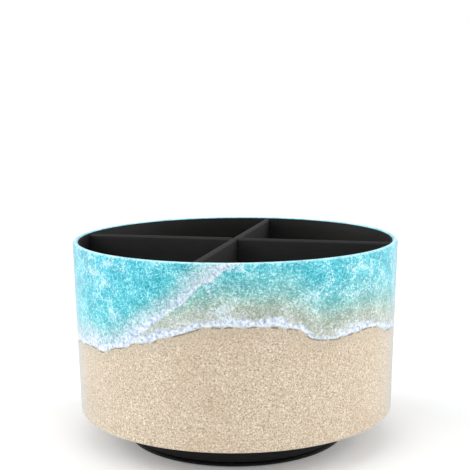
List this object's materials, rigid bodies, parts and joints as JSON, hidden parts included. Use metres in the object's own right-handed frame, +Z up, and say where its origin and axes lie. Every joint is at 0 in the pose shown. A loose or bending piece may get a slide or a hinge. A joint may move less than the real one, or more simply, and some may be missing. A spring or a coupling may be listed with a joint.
{
  "type": "rotating desk organizer",
  "caption": "Round leather-covered desk organizer, open at the top and split into compartments by crossed dividers, that turns on a low black base.",
  "frame": {"origin": "centre of the base on the surface it stands on", "axes": "+Z up along the axis that the drum turns about; the two dividers lie along X and Y; -Y is the front and the cover's seam is at +Y"},
  "size_m": [0.175, 0.175, 0.109],
  "materials": {
    "printed_leather": "satin",
    "black_leather": "satin",
    "fibreboard": "matte",
    "black_plastic": "satin",
    "acetal": "satin",
    "zinc_steel": "satin",
    "grey_rubber": "matte"
  },
  "bodies": {
    "base": {"foot_plate": "black_plastic", "glide_ring": "acetal", "rubber_foot_1": "grey_rubber", "rubber_foot_2": "grey_rubber", "rubber_foot_3": "grey_rubber", "rubber_foot_4": "grey_rubber"},
    "drum": {"drum_wall": "fibreboard", "printed_cover": "printed_leather", "lining_sleeve": "black_leather", "floor_board": "fibreboard", "floor_mat": "black_leather", "underside_sheet": "black_leather", "divider_core_x": "fibreboard", "divider_cover_x": "black_leather", "divider_core_y": "fibreboard", "divider_cover_y": "black_leather", "turntable_dish": "black_plastic", "pivot_washer": "zinc_steel", "pivot_screw": "zinc_steel"}
  },
  "joints": [
    {"name": "drum_spin", "type": "hinge", "parent": "base", "child": "drum", "pos_m": [0, 0, 0], "axis": [0, 0, 1], "continuous": true}
  ]
}
